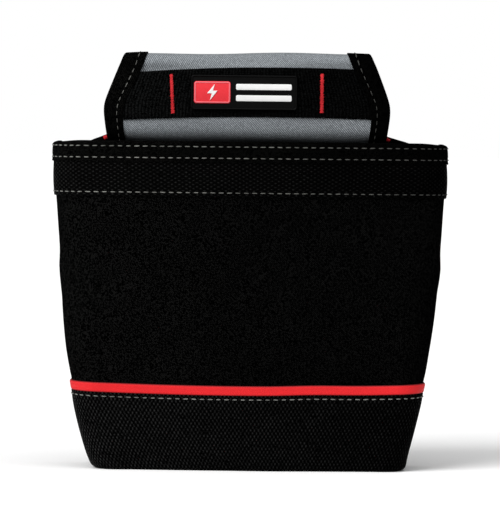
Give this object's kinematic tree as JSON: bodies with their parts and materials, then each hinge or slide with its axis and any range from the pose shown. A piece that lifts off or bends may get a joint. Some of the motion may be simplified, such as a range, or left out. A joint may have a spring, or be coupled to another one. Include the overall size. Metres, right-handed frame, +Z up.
{
  "type": "electrician tool pouch",
  "caption": "Open-topped sewn cloth pouch with bound and webbed mouth, red trim, reinforced boot and a flexing belt tunnel with strap and rubber badge.",
  "frame": {"origin": "under the middle of the pouch, on the surface it stands on", "axes": "+Z up towards the belt tunnel, +Y towards the wearer, so the front faces -Y"},
  "size_m": [0.25, 0.0749, 0.2645],
  "materials": {
    "black_twill": "fine matte twill",
    "black_ballistic": "basket weave with a slight sheen",
    "black_webbing": "woven webbing",
    "binding_tape": "plain-weave tape",
    "grey_twill": "heavy grey twill",
    "red_trim": "woven trim",
    "red_thread": "dense bar tack",
    "grey_thread": "polyester thread",
    "badge_black": "moulded rubber",
    "badge_red": "moulded rubber",
    "badge_white": "moulded rubber",
    "stiff_board": "plain sheet"
  },
  "bodies": {
    "bag": {"front_panel": "black_twill", "back_panel": "black_twill", "back_lining": "black_twill", "boot_panel": "black_ballistic", "bottom_panel": "black_ballistic", "mouth_webbing": "black_webbing", "mouth_binding": "binding_tape", "corner_binding_left": "binding_tape", "corner_binding_right": "binding_tape", "side_seam_tape_left": "binding_tape", "side_seam_tape_right": "binding_tape", "neck_seam_roll": "binding_tape", "red_trim": "red_trim", "mouth_thread_upper": "grey_thread", "mouth_thread_lower": "grey_thread", "webbing_thread": "grey_thread", "boot_thread": "grey_thread", "back_stiffener": "stiff_board", "base_board": "stiff_board"},
    "tunnel": {"shoulder_panel": "black_twill", "tunnel_lining": "black_twill", "front_strap": "black_webbing", "tunnel_binding_left": "binding_tape", "tunnel_binding_right": "binding_tape", "flap_hem_tape": "binding_tape", "tunnel_flap": "grey_twill", "strap_tack_left": "red_thread", "strap_tack_right": "red_thread", "corner_tack_left": "red_thread", "corner_tack_right": "red_thread", "tunnel_thread_left": "grey_thread", "tunnel_thread_right": "grey_thread", "badge_base": "badge_black", "badge_rim": "badge_black", "badge_tile": "badge_red", "badge_bolt": "badge_white", "badge_bar_upper": "badge_white", "badge_bar_lower": "badge_white"}
  },
  "joints": [
    {"name": "tunnel_flex", "type": "hinge", "parent": "bag", "child": "tunnel", "pos_m": [0, 0.0344, 0.198], "axis": [1, 0, 0], "range_deg": [-60, 60], "stiffness_Nm_per_rad": 0.3}
  ]
}
